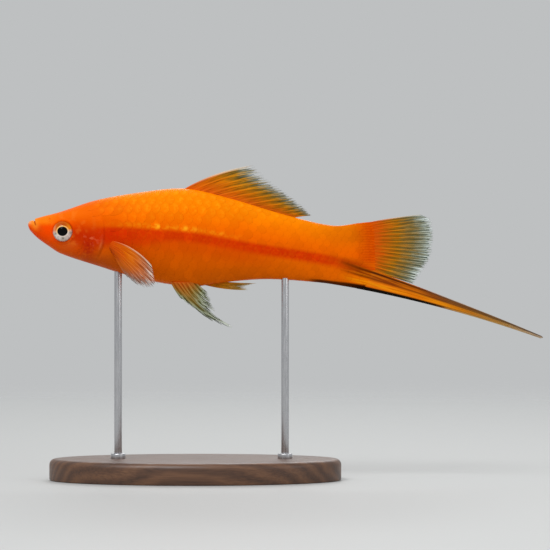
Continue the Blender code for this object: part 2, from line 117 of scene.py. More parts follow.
class Finish:
    """A material in the making: a Principled shader and what feeds it."""

    def __init__(self, name, **sockets):
        self.material = bpy.data.materials.new(name)
        self.material.use_nodes = True
        self.tree = self.material.node_tree
        self.shader = self.tree.nodes["Principled BSDF"]
        self.base = None  # the colour so far, for coat()
        for socket, value in sockets.items():
            self.feed(socket.replace("_", " ").title().replace("Ior", "IOR"), value)

    def connect(self, socket, value):
        if isinstance(value, Signal):
            self.tree.links.new(value.socket, socket)
        elif isinstance(value, tuple) and len(value) == 3 and socket.type == "RGBA":
            socket.default_value = (*value, 1)
        else:
            socket.default_value = value

    def feed(self, name, value):
        self.connect(self.shader.inputs[name], value)

    def node(self, kind, settings, sockets, output=0):
        node = self.tree.nodes.new(kind)
        for name, value in settings.items():
            if name == "stops":
                self.set_stops(node.color_ramp.elements, value)
            elif name == "points":
                self.set_points(node.mapping, value)
            else:
                setattr(node, name, value)
        for name, value in sockets.items():
            self.connect(node.inputs[name], value)
        return Signal(self, node.outputs[output])

    def set_stops(self, elements, stops):
        while len(elements) < len(stops):
            elements.new(1)
        for element, (place, colour) in zip(elements, stops):
            element.position = place
            element.color = (*colour, 1)

    def set_points(self, mapping, points):
        curve = mapping.curves[0].points
        while len(curve) < len(points):
            curve.new(0.5, 0.5)
        for point, place in zip(curve, points):
            point.location = place
        mapping.update()

    def place(self):
        """The x, y and z of the surface in the fish's own frame, in millimetres."""
        where = self.node("ShaderNodeTexCoord", {}, {}, "Object")
        x, y, z = (self.node("ShaderNodeSeparateXYZ", {}, {0: where}, i) for i in range(3))
        return (x - FISH_AT.x) / MM, y / MM, (z - FISH_AT.z) / MM

    def map(self, name):
        """The two numbers of one of the piece's UV maps."""
        where = self.node("ShaderNodeUVMap", {"uv_map": name}, {})
        return [self.node("ShaderNodeSeparateXYZ", {}, {0: where}, i) for i in range(2)]

    def mark(self, name):
        """A number that the piece's points carry."""
        return self.node("ShaderNodeAttribute", {"attribute_name": name}, {}, "Fac")

    def vector(self, x, y, z):
        return self.node("ShaderNodeCombineXYZ", {}, {0: x, 1: y, 2: z})

    def root(self, signal):
        return signal.math("SQRT", signal)

    def noise(self, where, scale, detail=3):
        sockets = {"Vector": where, "Scale": scale, "Detail": detail}
        return self.node("ShaderNodeTexNoise", {}, sockets)

    def colours(self, signal, stops):
        return self.node("ShaderNodeValToRGB", {"stops": stops}, {"Fac": signal})

    def blend(self, colour, other, share):
        sockets = {0: share, 6: colour, 7: other}
        return self.node("ShaderNodeMix", {"data_type": "RGBA"}, sockets, 2)

    def coat(self, red, green, blue, share):
        """Lays a colour over the base, as thickly as share says."""
        self.base = self.blend(self.base, colour(red, green, blue), share)

    def shade(self, colour, strength):
        """The colour multiplied by a number."""
        grey = self.vector(strength, strength, strength)
        return self.node("ShaderNodeVectorMath", {"operation": "MULTIPLY"}, {0: colour, 1: grey})

    def bump(self, height, depth):
        """depth is in metres, for a height from 0 to 1."""
        self.feed("Normal", self.node("ShaderNodeBump", {}, {"Height": height, "Distance": depth}))


def colour(red, green, blue):
    """A colour given as a screen shows it, from 0 to 255, as light strengths."""
    shares = (red / 255, green / 255, blue / 255)
    return tuple(s / 12.92 if s < 0.0405 else ((s + 0.055) / 1.055) ** 2.4 for s in shares)


# The shape of the body
# The trunk of a swordtail is a slim spindle, flattened from side to side, with a straight
# sloping forehead, a mouth that opens upwards and a deep tail stalk.

FISH_AT = Vector((-0.060, 0, 0.0596))  # the lower lip, in the frame of the solids
BODY_END = 81.2  # where the flesh has thinned out over the roots of the tail fin's rays
BACK_LINE = (
    (0, 0.7), (1.2, 0.88), (2, 1.42), (7.5, 2.9), (15.5, 5.5), (26, 7.4), (36.6, 8.3), (46.6, 6.2),
    (60, 2.2), (71, -0.3), (77.6, 0.35), (BODY_END, 0.75),
)  # fmt: skip
BELLY_LINE = (
    (0, -0.95), (2, -3.05), (4.8, -5.1), (7.5, -6.8), (15.5, -9.5), (26, -12.6), (37.7, -14.5),
    (47, -13.4), (56, -12.8), (68, -13.6), (74, -14.5), (77.6, -15.15), (BODY_END, -15.8),
)  # fmt: skip
HALF_WIDTH_LINE = (
    (0, 1.5), (2, 2.1), (7.5, 3.5), (15.5, 4.8), (24, 5.5), (36, 5.2), (48, 4.1),
    (60, 2.9), (70, 2.0), (77.6, 0.95), (BODY_END, 0.04),
)  # fmt: skip
BACK_FULLNESS_LINE = ((0, 2.7), (7.5, 2.5), (20, 2.1), (40, 1.9), (BODY_END, 2.1))
WIDEST_SHARE = 0.53  # of the height, where a cross-section is widest
LIP_ROUND = 0.6  # the length over which the lips are rounded
SIDES = ((-1, "left"), (1, "right"))


def smooth_line(points):
    """A function of x through the points, whose slope changes smoothly."""
    xs, ys = np.array(points, float).T
    inner = (ys[2:] - ys[:-2]) / (xs[2:] - xs[:-2])
    first, final = (ys[1] - ys[0]) / (xs[1] - xs[0]), (ys[-1] - ys[-2]) / (xs[-1] - xs[-2])
    slopes = np.concatenate([[first], inner, [final]])

    def value(x):
        x = np.clip(x, xs[0], xs[-1])
        i = np.clip(np.searchsorted(xs, x, side="right") - 1, 0, len(xs) - 2)
        step = xs[i + 1] - xs[i]
        t = (x - xs[i]) / step
        rise = ys[i + 1] - ys[i]
        bends = (1 - t) * (slopes[i] * step - rise) + t * (rise - slopes[i + 1] * step)
        return ys[i] + t * rise + t * (1 - t) * bends

    return value


back_line = smooth_line(BACK_LINE)
belly_line = smooth_line(BELLY_LINE)
half_width = smooth_line(HALF_WIDTH_LINE)
back_fullness = smooth_line(BACK_FULLNESS_LINE)


def section(x):
    """The middle height, reach up, reach down and half width of the body at x."""
    near = np.minimum(np.asarray(x) / LIP_ROUND, 1)
    rounded = np.sqrt(1 - (1 - near) ** 2)
    top, bottom = back_line(x), belly_line(x)
    middle = bottom + (top - bottom) * WIDEST_SHARE
    return middle, (top - middle) * rounded, (middle - bottom) * rounded, half_width(x) * rounded


def flank(x, z):
    """How far the skin is from the middle plane, at height z."""
    middle, up, down, out = section(x)
    upper = z > middle
    fullness = np.where(upper, back_fullness(x), 2.0)
    share = np.minimum(np.abs(z - middle) / np.where(upper, up, down), 1)
    return out * (1 - share**fullness) ** (1 / fullness)


# A table of one side of the skin: stations along it, closer together at the snout, and shares of
# the way down it from the middle of the back (0) to the middle of the belly (1).
STATIONS, SHARES, CROWDING = 520, 160, 1.8


def station_x(share):
    return BODY_END * share**CROWDING


def side_of_body():
    angles = np.linspace(math.pi / 2, -math.pi / 2, 721)
    cos, sin = np.abs(np.cos(angles)), np.sin(angles)
    table = np.empty((STATIONS + 1, SHARES + 1, 3))
    for i in range(STATIONS + 1):
        x = station_x(i / STATIONS)
        middle, up, down, out = section(x)
        fullness = np.where(sin > 0, back_fullness(x), 2.0)
        y = out * cos ** (2 / fullness)
        z = middle + np.sign(sin) * np.abs(sin) ** (2 / fullness) * np.where(sin > 0, up, down)
        walked = np.concatenate([[0], np.cumsum(np.hypot(np.diff(y), np.diff(z)))])
        at = np.linspace(0, walked[-1], SHARES + 1)
        table[i] = np.stack([np.full_like(at, x), np.interp(at, walked, y), np.interp(at, walked, z)], 1)
    return table


def outward(table):
    along, down = np.gradient(table, axis=0), np.gradient(table, axis=1)
    normal = np.cross(along, down)
    normal[0] = (-1, 0, 0)
    return normal / np.maximum(np.linalg.norm(normal, axis=2, keepdims=True), 1e-12)


skin_points = side_of_body()
skin_normals = outward(skin_points)


def between(table, x, share):
    """The table's rows at x and share, with share below 0 or above 1 carried over to the far side."""
    i = (np.clip(x, 0, BODY_END) / BODY_END) ** (1 / CROWDING) * STATIONS
    over = (share < 0) | (share > 1)
    j = np.where(share < 0, -share, np.where(share > 1, 2 - share, share)) * SHARES
    i0, j0 = np.minimum(i.astype(int), STATIONS - 1), np.minimum(j.astype(int), SHARES - 1)
    s, t = (i - i0)[:, None], (j - j0)[:, None]
    near = table[i0, j0] * (1 - t) + table[i0, j0 + 1] * t
    far = table[i0 + 1, j0] * (1 - t) + table[i0 + 1, j0 + 1] * t
    found = near * (1 - s) + far * s
    found[over, 1] *= -1
    return found


def on_body(x, share, side, lift=0):
    """Points of the skin, lifted off it. side is -1 for the left of the fish."""
    place = between(skin_points, x, share)
    away = between(skin_normals, x, share)
    place = place + away * np.asarray(lift).reshape(-1, 1)
    place[:, 1] *= side
    return place


def to_scene(points):
    return points * MM + np.array(FISH_AT)


# The skin
# One skin covers head, trunk and tail stalk, with the mouth, the nostrils, the rims of the eyes
# and the edges of the gill covers standing out of it.

RINGS, ROUND = 400, 220  # faces along the skin and around it
SKIN_SUNK = 0.03  # how far the skin lies inside the plain body, to leave room for the scales
MOUTH_TOP, MOUTH_CORNER = np.array((1.38, 1.25)), np.array((1.98, -0.4))
EYE_AT, EYE_RADIUS = np.array((8.36, -1.72)), 2.36
NOSTRIL_AT = np.array((5.2, 1.2))
GILL_ARC_AT, GILL_ARC_RADIUS = np.array((6.5, -1.8)), 11.6
CHEEK_AT, CHEEK_RADIUS = np.array((8.9, -3.4)), 4.6
TAIL_RAYS_FROM, TAIL_RAY_PITCH = 0.15, 0.6


def ease(value, low, high):
    t = np.clip((value - low) / (high - low), 0, 1)
    return t * t * (3 - 2 * t)


def bell(value, centre, width):
    return np.exp(-(((value - centre) / width) ** 2))


def skin_relief(x, z):
    """How far the skin stands out of the plain body, in millimetres."""
    slit = MOUTH_CORNER - MOUTH_TOP
    length = np.hypot(*slit)
    slit = slit / length
    along = ((x - MOUTH_TOP[0]) * slit[0] + (z - MOUTH_TOP[1]) * slit[1]) / length
    across = -(x - MOUTH_TOP[0]) * slit[1] + (z - MOUTH_TOP[1]) * slit[0]
    mouth = ease(along, -0.6, -0.3) * (1 - ease(along, 0.7, 1.0))
    height = mouth * (0.06 * bell(across, 0.4, 0.22) + 0.08 * bell(across, -0.55, 0.4))
    height -= mouth * 0.32 * bell(across, 0, 0.15)

    eye = np.hypot(x - EYE_AT[0], z - EYE_AT[1])
    height += 0.12 * bell(eye, EYE_RADIUS + 0.32, 0.26)
    height -= 1.0 * (1 - ease(eye, EYE_RADIUS - 0.45, EYE_RADIUS + 0.05))

    nostril = np.hypot(x - NOSTRIL_AT[0], z - NOSTRIL_AT[1])
    height += 0.06 * bell(nostril, 0.42, 0.13) - 0.3 * bell(nostril, 0, 0.24)

    behind = np.hypot(x - GILL_ARC_AT[0], z - GILL_ARC_AT[1]) - GILL_ARC_RADIUS
    gill = ease(z, -8.8, -5.6) * (1 - ease(z, 0.2, 2.2)) * ease(x, 12, 14)
    past_edge = ease(behind, -0.3, 0.25)
    cover = 0.18 * ease(behind, -3.2, -0.4)
    hollow = 0.2 * np.exp(-np.maximum(behind - 0.25, 0) / 0.8)
    height += gill * (cover * (1 - past_edge) - hollow * past_edge)

    cheek = np.hypot(x - CHEEK_AT[0], z - CHEEK_AT[1]) - CHEEK_RADIUS
    height -= 0.08 * bell(cheek, 0, 0.24) * ease(x, 10.5, 12) * ease(z, -8.2, -6.5) * (1 - ease(z, -0.6, 1))

    # the roots of the tail fin's rays, just showing through the flesh
    height += 0.03 * np.sin(2 * math.pi * (z - TAIL_RAYS_FROM) / TAIL_RAY_PITCH) * ease(x, 76.5, 79.5)
    return height


def mesh_of(name, shape):
    """A mesh from a bmesh that is finished with."""
    mesh = bpy.data.meshes.new(name)
    shape.to_mesh(mesh)
    shape.free()
    return mesh


def sheet(name, columns, rows):
    """A mesh of a grid of faces, and the shares (u, v) of each of its points."""
    flat = bmesh.new()
    bmesh.ops.create_grid(flat, x_segments=columns, y_segments=rows, size=0.5)
    maps = flat.loops.layers.uv.new("chart")
    for face in flat.faces:
        for loop in face.loops:
            loop[maps].uv = loop.vert.co.xy + Vector((0.5, 0.5))
    mesh = mesh_of(name, flat)
    places = np.empty(len(mesh.vertices) * 3)
    mesh.vertices.foreach_get("co", places)
    return mesh, places.reshape(-1, 3)[:, :2].T + 0.5


def chart(mesh, name):
    """The numbers of a UV map, as an array, and a function that writes them back."""
    layer = mesh.uv_layers.get(name) or mesh.uv_layers.new(name=name)
    values = np.empty(len(mesh.loops) * 2)
    layer.uv.foreach_get("vector", values)

    def write(changed):
        layer.uv.foreach_set("vector", changed.astype(np.float32).ravel())

    return values.reshape(-1, 2), write


def show(name, mesh, finish):
    """Puts a mesh in the scene, with its finish."""
    mesh.materials.append(finish.material)
    piece = bpy.data.objects.new(name, mesh)
    bpy.context.scene.collection.objects.link(piece)
    return piece


def add_piece(name, mesh, points, finish, merge=0.0):
    """Puts the mesh's points in place, joins those closer than merge and closes its holes, and
    shows it."""
    mesh.vertices.foreach_set("co", to_scene(points).astype(np.float32).ravel())
    shape = bmesh.new()
    shape.from_mesh(mesh)
    if merge:
        bmesh.ops.remove_doubles(shape, verts=shape.verts, dist=merge * MM)
        bmesh.ops.holes_fill(shape, edges=shape.edges, sides=0)
        bmesh.ops.recalc_face_normals(shape, faces=shape.faces)
    shape.to_mesh(mesh)
    shape.free()
    mesh.shade_smooth()
    return show(name, mesh, finish)


FIN_ROOT_X = 76.6  # where the rays of the tail fin start, inside the flesh
SWORD_ROOT = (-9.4, -15.0)  # the heights of the sword's edges there
SWORD_SLOPES = (-0.35, -0.19)  # how steeply they run down
STRIPE_LINE = (
    (0, -2.6), (10, -2.0), (18.2, -1.15), (30.3, -1.65), (38.2, -2.3), (44.5, -3.35), (53.4, -4.95),
    (62.4, -6.3), (70.4, -7.7), (76, -9.15), (BODY_END, -10.6),
)  # fmt: skip
STRIPE_SPAN = (-12.0, 0.0)  # the heights that the stripe's curve runs between
ORANGE_DOWN_THE_SIDE = (
    (0.00, colour(252, 140, 1)),
    (0.22, colour(249, 124, 1)),
    (0.38, colour(246, 108, 1)),
    (0.48, colour(240, 96, 1)),
    (0.62, colour(226, 92, 1)),
    (0.82, colour(222, 96, 2)),
    (1.00, colour(238, 108, 8)),
)


def sword_bands(finish, across, fade, lower=1.0):
    """Lays the sword's markings over the base: across runs from 0 at its upper edge to 1 below, and
    lower is how black the lower edge is."""
    x, _, _ = finish.place()
    streaks = finish.noise(finish.vector(across * 12, x * 0.15, 7), 1.0, 2).ramp(0.38, 0.62)
    brown = finish.blend(colour(134, 54, 3), colour(200, 104, 8), streaks)
    finish.base = finish.blend(finish.base, brown, (1 - across.ramp(0.36, 0.5)) * fade * 0.9)
    bright = finish.blend(colour(226, 116, 2), colour(250, 152, 8), streaks)
    finish.base = finish.blend(finish.base, bright, across.hump(0.66, 0.14) * fade * 0.85)
    finish.coat(104, 38, 2, across.hump(0.41, 0.05) * fade * 0.7)
    finish.coat(54, 22, 4, across.hump(0.11, 0.06) * fade * 0.85)
    finish.coat(14, 8, 4, across.ramp(0.8, 0.87) * fade * lower)


def body_colours(finish):
    """Gives the flesh its orange, its markings and its painted glints, highlights and shadow, the same on
    the skin and on the scales.
    """
    x, y, z = finish.place()
    _, down = finish.map("chart")
    fine = finish.noise(finish.vector(x, y, z), 1.6)
    broad = finish.noise(finish.vector(x * 0.5, y, z), 0.35)
    finish.base = finish.colours(down + (broad - 0.5) * 0.12, ORANGE_DOWN_THE_SIDE)
    finish.coat(236, 104, 2, x.ramp(46, 66) * down.ramp(0.25, 0.7) * 0.7)
    finish.coat(196, 84, 3, x.ramp(58, 78) * (1 - down.ramp(0.2, 0.5)) * 0.6)

    lowest, highest = STRIPE_SPAN
    points = [(a / BODY_END, (b - lowest) / (highest - lowest)) for a, b in STRIPE_LINE]
    curve = finish.node("ShaderNodeFloatCurve", {"points": points}, {"Value": x / BODY_END})
    over_stripe = z - (curve * (highest - lowest) + lowest)

    # head: redder cheeks, a yellow-orange forehead, pale lips, pink skin over the gills and a
    # painted highlight on the fold at their edge
    head = 1 - x.ramp(12, 20)
    finish.coat(240, 82, 2, head * 0.75)
    finish.coat(242, 108, 4, head * z.ramp(-0.4, 2.6) * 0.8)
    cheeks = x.hump(12, 4.5) * z.hump(-2.6, 2.6)
    finish.coat(196, 30, 2, cheeks * 0.78)
    throat = (1 - x.ramp(17, 27)) * (1 - z.ramp(-9, -5.5)) * x.ramp(5, 9)
    finish.coat(188, 76, 18, throat * 0.7)
    below_eye = x.hump(9.4, 1.9) * z.hump(-5.0, 1.2)
    finish.coat(230, 98, 30, below_eye * 0.6)
    patches = finish.noise(finish.vector(x, y, z), 0.6)
    finish.coat(248, 136, 40, head * x.ramp(2, 6) * patches.ramp(0.5, 0.7) * 0.3)
    pink = (x - z * 0.2).hump(15.6, 1.8) * z.hump(-5.1, 2.6) * fine.ramp(0.32, 0.62, 0.45, 1)
    finish.coat(176, 30, 14, pink * 0.95)
    arc_x, arc_z = map(float, GILL_ARC_AT)
    from_arc = finish.root((x - arc_x).squared() + (z - arc_z).squared())
    # a painted highlight on the fold at the edge of the gill cover
    painted_gill_edge_highlight = from_arc.hump(GILL_ARC_RADIUS - 0.4, 0.3) * z.hump(-4.2, 1.2) * x.ramp(12, 14)
    finish.coat(252, 156, 84, painted_gill_edge_highlight * fine.ramp(0.3, 0.6, 0.4, 1) * 0.8)
    snout = (1 - x.ramp(5, 10)) * z.ramp(-5.5, -3.0) * (1 - z.ramp(-0.8, 0.8))
    finish.coat(255, 70, 1, snout * 0.75)
    brow = (1 - x.ramp(4, 8)) * z.ramp(-0.8, 0.6)
    finish.coat(252, 138, 18, brow * 0.5)
    nape = x.hump(19.5, 6.5) * z.ramp(-1.2, 0.8) * (1 - z.ramp(4.6, 6.6))
    finish.coat(228, 76, 2, nape * 0.42)
    shoulder = x.hump(18.5, 6) * z.hump(-3.0, 2.6)
    finish.coat(176, 30, 2, shoulder * 0.58)
    # pale pink specks over the gills, painted as small highlights
    gill_highlight_specks = finish.noise(finish.vector(x, y, z), 0.95, 1).ramp(0.57, 0.68)
    gill_highlight_specks = gill_highlight_specks * x.hump(14.8, 2.4) * z.hump(-3.6, 1.7)
    finish.coat(250, 134, 84, gill_highlight_specks * 0.5)
    slit_x, slit_z = map(float, MOUTH_TOP)
    past_slit = (x - slit_x) * 0.94 + (z - slit_z) * 0.342  # square to the slit of the mouth
    lips = past_slit.hump(-0.1, 0.9) * z.ramp(-2.2, -0.2)
    finish.coat(252, 150, 42, lips * 0.75)
    finish.coat(244, 186, 140, x.hump(0.2, 0.6) * z.hump(0.45, 0.45) * 0.7)
    # a dark line along the slit of the mouth, painted as the shadow in it
    finish.coat(140, 44, 8, past_slit.hump(0.0, 0.13) * z.ramp(-0.6, -0.1) * 0.8)
    corner = x.hump(3.0, 0.8) * z.hump(-1.2, 0.8)
    finish.coat(214, 60, 6, corner * 0.5)

    # flank: the red stripe, with painted glints on the scales above it and a redder haze below it
    stripe = (1 - over_stripe.ramp(-0.25, 0.95)) * (over_stripe * x.ramp(25, 36, 0.55, 1)).ramp(-2.8, -1.2)
    stripe = stripe * x.ramp(11, 20) * (1 - x.ramp(66, 78) * 0.45)
    finish.coat(212, 38, 3, stripe * fine.ramp(0.3, 0.6, 0.75, 1) * 0.85)
    # painted glints: bright spots just above the stripe, where the scales catch the light
    glints = over_stripe.hump(1.05, 0.58) * x.ramp(16, 28) * (1 - x.ramp(38, 54))
    finish.coat(255, 158, 20, glints * fine.ramp(0.46, 0.6) * 0.3)
    halo = over_stripe.hump(-2.6, 2.2) * x.ramp(18, 30) * (1 - x.ramp(48, 60))
    finish.coat(214, 66, 3, halo * 0.45)

    # tail: a red root with fine lines, a brown patch where the sword's dark line starts, and the
    # black edge below
    root = (x + (z + 4.6).squared() * 0.03).ramp(75, 80.5)
    lines = ((z - TAIL_RAYS_FROM) * (2 * math.pi / TAIL_RAY_PITCH)).sine() * 0.5 + 0.5
    fading = finish.blend(colour(208, 70, 1), colour(224, 84, 1), lines * fine.ramp(0.4, 0.6))
    finish.base = finish.blend(finish.base, fading, root * (1 - down.ramp(0.55, 0.65)) * 0.9)
    upper_edge = (x - FIN_ROOT_X) * SWORD_SLOPES[0] + SWORD_ROOT[0]
    depth = (x - FIN_ROOT_X) * (SWORD_SLOPES[1] - SWORD_SLOPES[0]) + (SWORD_ROOT[1] - SWORD_ROOT[0])
    below = (z - upper_edge) / depth
    sword_bands(finish, below, x.ramp(71.5, 78) * below.ramp(-0.02, 0.1))
    smudge = x.hump(75.8, 4.2) * (z + (x - 75.8) * 0.3).hump(-9.5, 1.2)
    finish.coat(140, 52, 3, smudge * 0.6)
    edge = down.ramp(0.9, 0.94) * x.ramp(64, 68)
    finish.coat(24, 10, 4, edge * 0.9)
    return fine, glints


skin = Finish("orange skin", roughness=0.38, specular_ior_level=0.07, specular_tint=colour(255, 130, 20))
skin_grain, _ = body_colours(skin)
skin.feed("Base Color", skin.base)
skin.bump(skin_grain, 0.04 * MM)

mesh, (u, v) = sheet("body_skin", RINGS, ROUND)
x = station_x(u)
side = np.where(v < 0.5, -1, 1)
share = np.where(v < 0.5, 2 * v, 2 - 2 * v)
plain = on_body(x, share, 1)
lift = skin_relief(plain[:, 0], plain[:, 2]) - SKIN_SUNK
points = on_body(x, share, side, lift)
points[:, 1] *= np.where((share < 1e-5) | (share > 1 - 1e-5), 0, 1)
uv, write_uv = chart(mesh, "chart")
folded = np.where(uv[:, 1] < 0.5, 2 * uv[:, 1], 2 - 2 * uv[:, 1])
write_uv(np.stack([uv[:, 0] ** CROWDING, folded], 1))
body_skin = add_piece("body_skin", mesh, points, skin, merge=0.002)
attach(body_skin, "root")
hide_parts("head", "lower_jaw", "gill_cover_left", "gill_cover_right", "trunk", "tail_stalk")


# The scales
# Thin overlapping plates, each rounded at its free edge, in rows from behind the gill covers to
# the root of the tail fin. They lie almost flat, so that only their edges catch the light.

SCALE_ROWS = 12  # from the middle of the back to the middle of the belly
SCALE_PITCH = 2.15  # from one scale to the next along a row
SCALE_LENGTH = 4.0
SCALE_SHRINK, SHRINK_SPAN = 0.22, (45, 75)  # how much smaller they get towards the tail, and where
FIRST_SCALE, LAST_SCALE = 11.0, 77.0
SCALE_WIDTH = 1.62  # in rows
ROUND_SHARE = 0.55  # of a scale's length, taken up by its round edge
SCALE_ACROSS, SCALE_ALONG = 8, 6  # faces
RIM_FROM, RIM_TO = (0, 5 / 6, 1), (0, 0.99, 1)  # the last row of faces is narrow
SCALE_THICK = 0.008
SCALE_LOW, SCALE_TILT, SCALE_CURL = -0.031, 0.038, 0.01  # its root, its rise, its drop at the sides
ROOT_DIP, ROOT_SHARE = 0.1, 0.3  # how deep its root is in the skin, and over what share of it
PAST_GILL = 2.6  # from the edge of the gill cover to the first scale
NAPE_FROM, NAPE_ABOVE = 13.5, 2.9
DORSAL_SPAN, BELLY_FINS_SPAN = (35, 63), (31, 45)  # no scales along the roots of these fins


def scale_size(x):
    return 1 - SCALE_SHRINK * ease(x, *SHRINK_SPAN)


def scale_places():
    """(x, share, side) of each scale's middle, row by row."""
    places = []
    for row in range(SCALE_ROWS + 1):
        share = row / SCALE_ROWS
        for side in (-1, 1) if 0 < row < SCALE_ROWS else (1,):
            x = FIRST_SCALE + SCALE_PITCH * 0.5 * (row % 2)
            while x < LAST_SCALE:
                z = float(between(skin_points, np.array([x]), np.array([share]))[0, 2])
                from_arc = math.hypot(x - GILL_ARC_AT[0], z - GILL_ARC_AT[1])
                behind_gill = from_arc > GILL_ARC_RADIUS + PAST_GILL
                on_dorsal = row == 0 and DORSAL_SPAN[0] < x < DORSAL_SPAN[1]
                on_belly = row == SCALE_ROWS and BELLY_FINS_SPAN[0] < x < BELLY_FINS_SPAN[1]
                fin_in_the_way = side == 1 and (on_dorsal or on_belly)
                over_nape = z > NAPE_ABOVE and x > NAPE_FROM
                if (behind_gill or over_nape) and not fin_in_the_way:
                    places.append((x, share, side))
                x += SCALE_PITCH * scale_size(x)
    return np.array(places)


scales = Finish("orange scales", roughness=0.36, specular_ior_level=0.07, specular_tint=colour(255, 130, 20))
scale_grain, glints = body_colours(scales)
plate_across, plate_along = scales.map("plate")
tint = scales.mark("tint")
rim = plate_along.ramp(0.74, 0.98)
scales.coat(206, 72, 3, rim * 0.14)
# a painted highlight on the middle of each scale, only higher up the flank
painted_scale_highlight = plate_along.hump(0.7, 0.16) * plate_across.hump(0.5, 0.3)
x, _, z = scales.place()
painted_scale_highlight = painted_scale_highlight * z.ramp(-1, 5) * x.ramp(15, 30, 0.35, 1)
scales.coat(255, 166, 22, painted_scale_highlight * scale_grain.ramp(0.36, 0.6) * 0.42)
# a painted glint spot on each scale in the row above the stripe
grainy = plate_along + (scale_grain - 0.5) * 0.3
painted_glint_spot = grainy.hump(0.72, 0.13) * plate_across.hump(0.5, 0.34) * (tint.squared() + 0.15)
scales.coat(255, 172, 28, glints * painted_glint_spot)
scales.feed("Base Color", scales.shade(scales.base, tint * 0.12 + 0.94))
ridges = (plate_along * 60).sine() * 0.5 + 0.5
scales.bump(scale_grain * 0.7 + ridges * 0.3, 0.03 * MM)

places = scale_places()
coat = bmesh.new()
for _ in places:
    bmesh.ops.create_grid(coat, x_segments=SCALE_ACROSS, y_segments=SCALE_ALONG, size=0.5)
coat.loops.layers.uv.new("chart")
mesh = mesh_of("scales", coat)
each = (SCALE_ACROSS + 1) * (SCALE_ALONG + 1)
local = np.empty(len(mesh.vertices) * 3)
mesh.vertices.foreach_get("co", local)
across, along = local.reshape(-1, 3)[:, 0], local.reshape(-1, 3)[:, 1] + 0.5
scale_x, scale_share, scale_side = places[np.arange(len(mesh.vertices)) // each].T
turn, plate = across * math.pi, along
across, along = np.sin(turn) / 2, np.interp(along, RIM_FROM, RIM_TO)
along = along * (1 - ROUND_SHARE * (1 - np.cos(turn)))
x = scale_x + (along - 0.55) * SCALE_LENGTH * scale_size(scale_x)
share = scale_share + across * SCALE_WIDTH / SCALE_ROWS
plain = on_body(x, np.clip(share, 0, 1), 1)
lift = skin_relief(plain[:, 0], plain[:, 2])
dip = ROOT_DIP * np.clip(1 - along / ROOT_SHARE, 0, 1) ** 2
lift += SCALE_LOW + SCALE_TILT * along - SCALE_CURL * (2 * across) ** 2 - dip
points = on_body(x, share, scale_side, lift)

corner = np.empty(len(mesh.loops), int)
mesh.loops.foreach_get("vertex_index", corner)
_, write_uv = chart(mesh, "chart")
write_uv(np.stack([(x / BODY_END), np.clip(share, 0, 1)], 1)[corner])
_, write_uv = chart(mesh, "plate")
write_uv(np.stack([across + 0.5, plate], 1)[corner])
PATCH = 0.003  # of the width of the bake's map, for one scale
unwrapped = np.stack(
    [
        0.02 + 0.96 * scale_x / BODY_END + (along - 0.5) * PATCH,
        0.5 + scale_side * (0.02 + 0.46 * scale_share) + across * PATCH,
    ],
    1,
)
_, write_uv = chart(mesh, "OFBake")
write_uv(unwrapped[corner])
tints = np.random.default_rng(7).random(len(places))
mark = mesh.attributes.new("tint", "FLOAT", "POINT")
mark.data.foreach_set("value", tints[np.arange(len(mesh.vertices)) // each].astype(np.float32))
scale_coat = add_piece("scale_coat", mesh, points, scales)
thickness = scale_coat.modifiers.new("thickness", "SOLIDIFY")
thickness.thickness = SCALE_THICK * MM
thickness.offset = 0
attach(scale_coat, "root")


# The eyes
# Large and set flush in the head: a black pupil in a thin gold ring, a silver iris that turns
# golden brown above, and a clear domed front.

PUPIL_RADIUS = 1.1
EYE_HALF_THICK = 1.5
EYE_SUNK = 0.45  # from the skin in to the eye's middle
DOME_HEIGHT, DOME_WIDTH = 0.2, 1.3

eye = Finish(
    "eye", roughness=0.3, specular_ior_level=0.03, coat_weight=1.0, coat_roughness=0.03, coat_ior=1.16
)
x, _, z = eye.place()
off_x, off_z = x - float(EYE_AT[0]), z - float(EYE_AT[1])
radius = eye.root(off_x.squared() + off_z.squared())
angle = off_z.math("ARCTAN2", off_z, off_x)
streaks = eye.noise(eye.vector(angle * 7, radius * 1.5, 0), 1.0)
eye.base = eye.blend(colour(212, 196, 188), colour(244, 232, 224), streaks.ramp(0.35, 0.65))
for patch_x, patch_z in ((-1.65, -0.55), (0.1, -1.6), (1.8, -0.3)):
    patch = off_x.hump(patch_x, 0.4) * off_z.hump(patch_z, 0.34)
    eye.coat(132, 122, 100, patch * 0.75)
above = (off_z - off_x * 0.08).ramp(-0.45, 0.5)
golden = eye.blend(colour(200, 90, 2), colour(232, 132, 8), off_x.ramp(0.4, 1.7))
golden = eye.blend(golden, colour(164, 64, 2), off_z.hump(1.6, 0.45) * off_x.hump(0, 1.3) * 0.7)
golden = eye.blend(colour(230, 146, 98), golden, off_x.ramp(-2.1, -1.3))
eye.base = eye.blend(eye.base, golden, above)
pupil = eye.root((off_x * 0.91).squared() + off_z.squared())
ring = eye.blend(colour(250, 232, 214), colour(250, 204, 118), (off_z - off_x * 0.3).ramp(-0.9, 0.2))
eye.base = eye.blend(eye.base, ring, pupil.hump(PUPIL_RADIUS + 0.12, 0.11) * 0.95)
outer = eye.blend(colour(150, 116, 84), colour(196, 86, 8), above)
eye.base = eye.blend(eye.base, outer, radius.ramp(1.95, 2.3) * 0.6)
eye.coat(3, 3, 4, 1 - pupil.ramp(PUPIL_RADIUS - 0.05, PUPIL_RADIUS + 0.03))
eye.feed("Base Color", eye.base)


